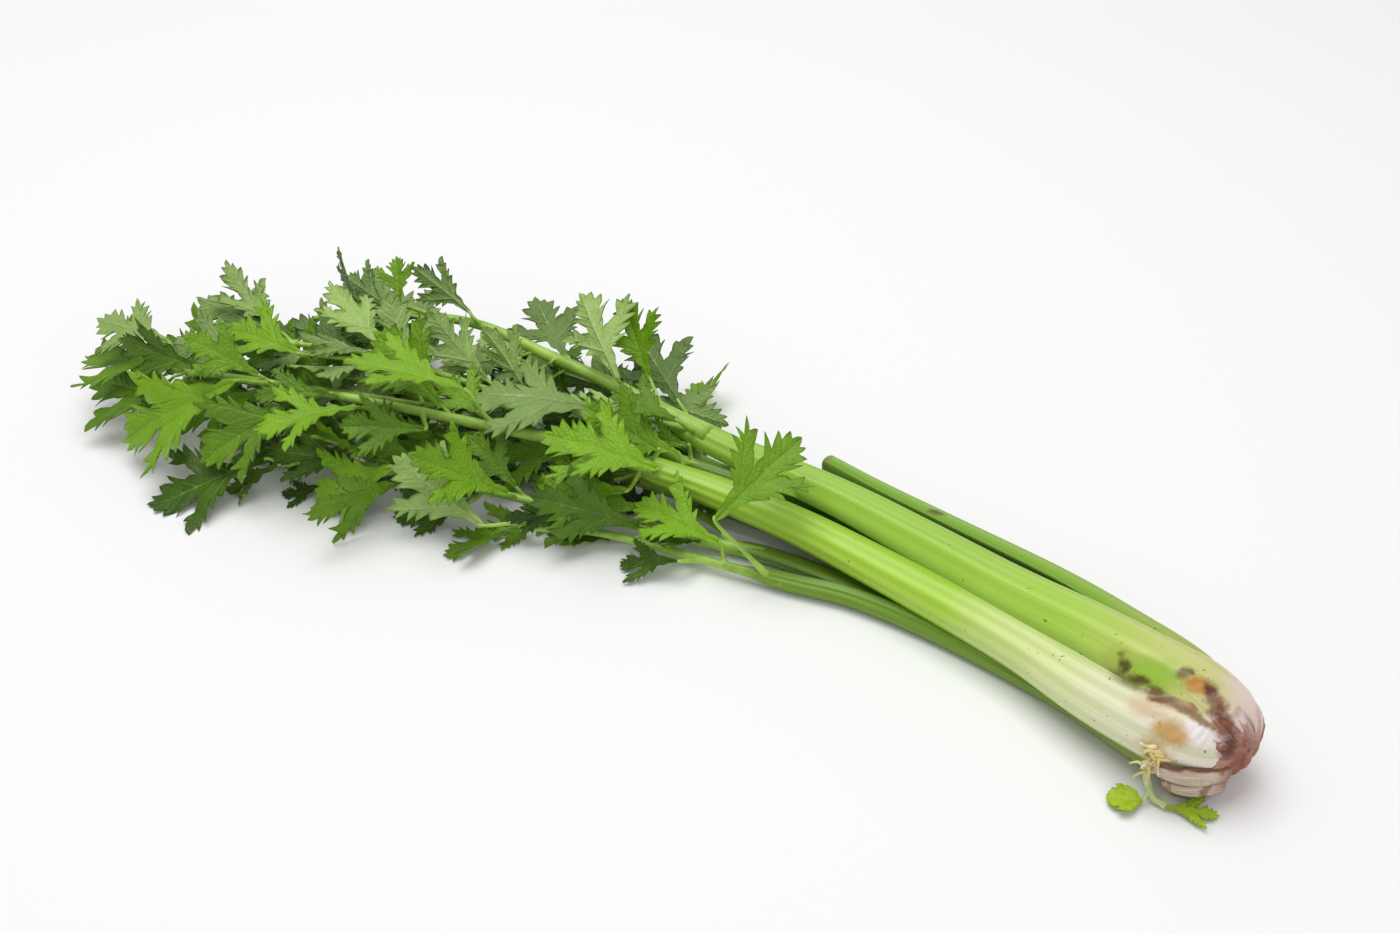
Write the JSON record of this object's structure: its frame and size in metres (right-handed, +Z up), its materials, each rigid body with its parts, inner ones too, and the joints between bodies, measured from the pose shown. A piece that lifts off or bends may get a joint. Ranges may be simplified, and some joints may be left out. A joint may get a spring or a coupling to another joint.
{
  "type": "head of celery",
  "caption": "Head of celery lying on its side: ribbed curved stalks gathered at a trimmed root end, toothed leaves at the other end.",
  "frame": {"origin": "middle of the underside of the head's box, on the surface that it lies on", "axes": "+X from the leaves to the root end, along the head; +Y to the far side as it is seen in the picture; +Z up"},
  "size_m": [0.5702, 0.2007, 0.0745],
  "materials": {
    "stalk_green": "waxy, satin",
    "stalk_pale": "waxy, satin",
    "leaf": "soft, slightly glossy above and dull below",
    "shoot": "soft, slightly glossy",
    "root_end": "dry, rough, with traces of soil"
  },
  "bodies": {
    "root": {"crown": "root_end", "stalk_b": "stalk_green", "stalk_c": "stalk_green", "stalk_a": "stalk_green", "stalk_d": "stalk_green", "stalk_e": "stalk_pale", "stalk_f": "stalk_pale", "stalk_g": "stalk_pale", "stalk_h": "stalk_pale", "stalk_i": "stalk_pale", "basal_shoot": "shoot", "leaves_b": "leaf", "leaves_c": "leaf", "leaves_d": "leaf", "leaves_e": "leaf", "leaves_f": "leaf", "leaves_g": "leaf", "leaves_h": "leaf", "leaves_i": "leaf"}
  },
  "joints": []
}
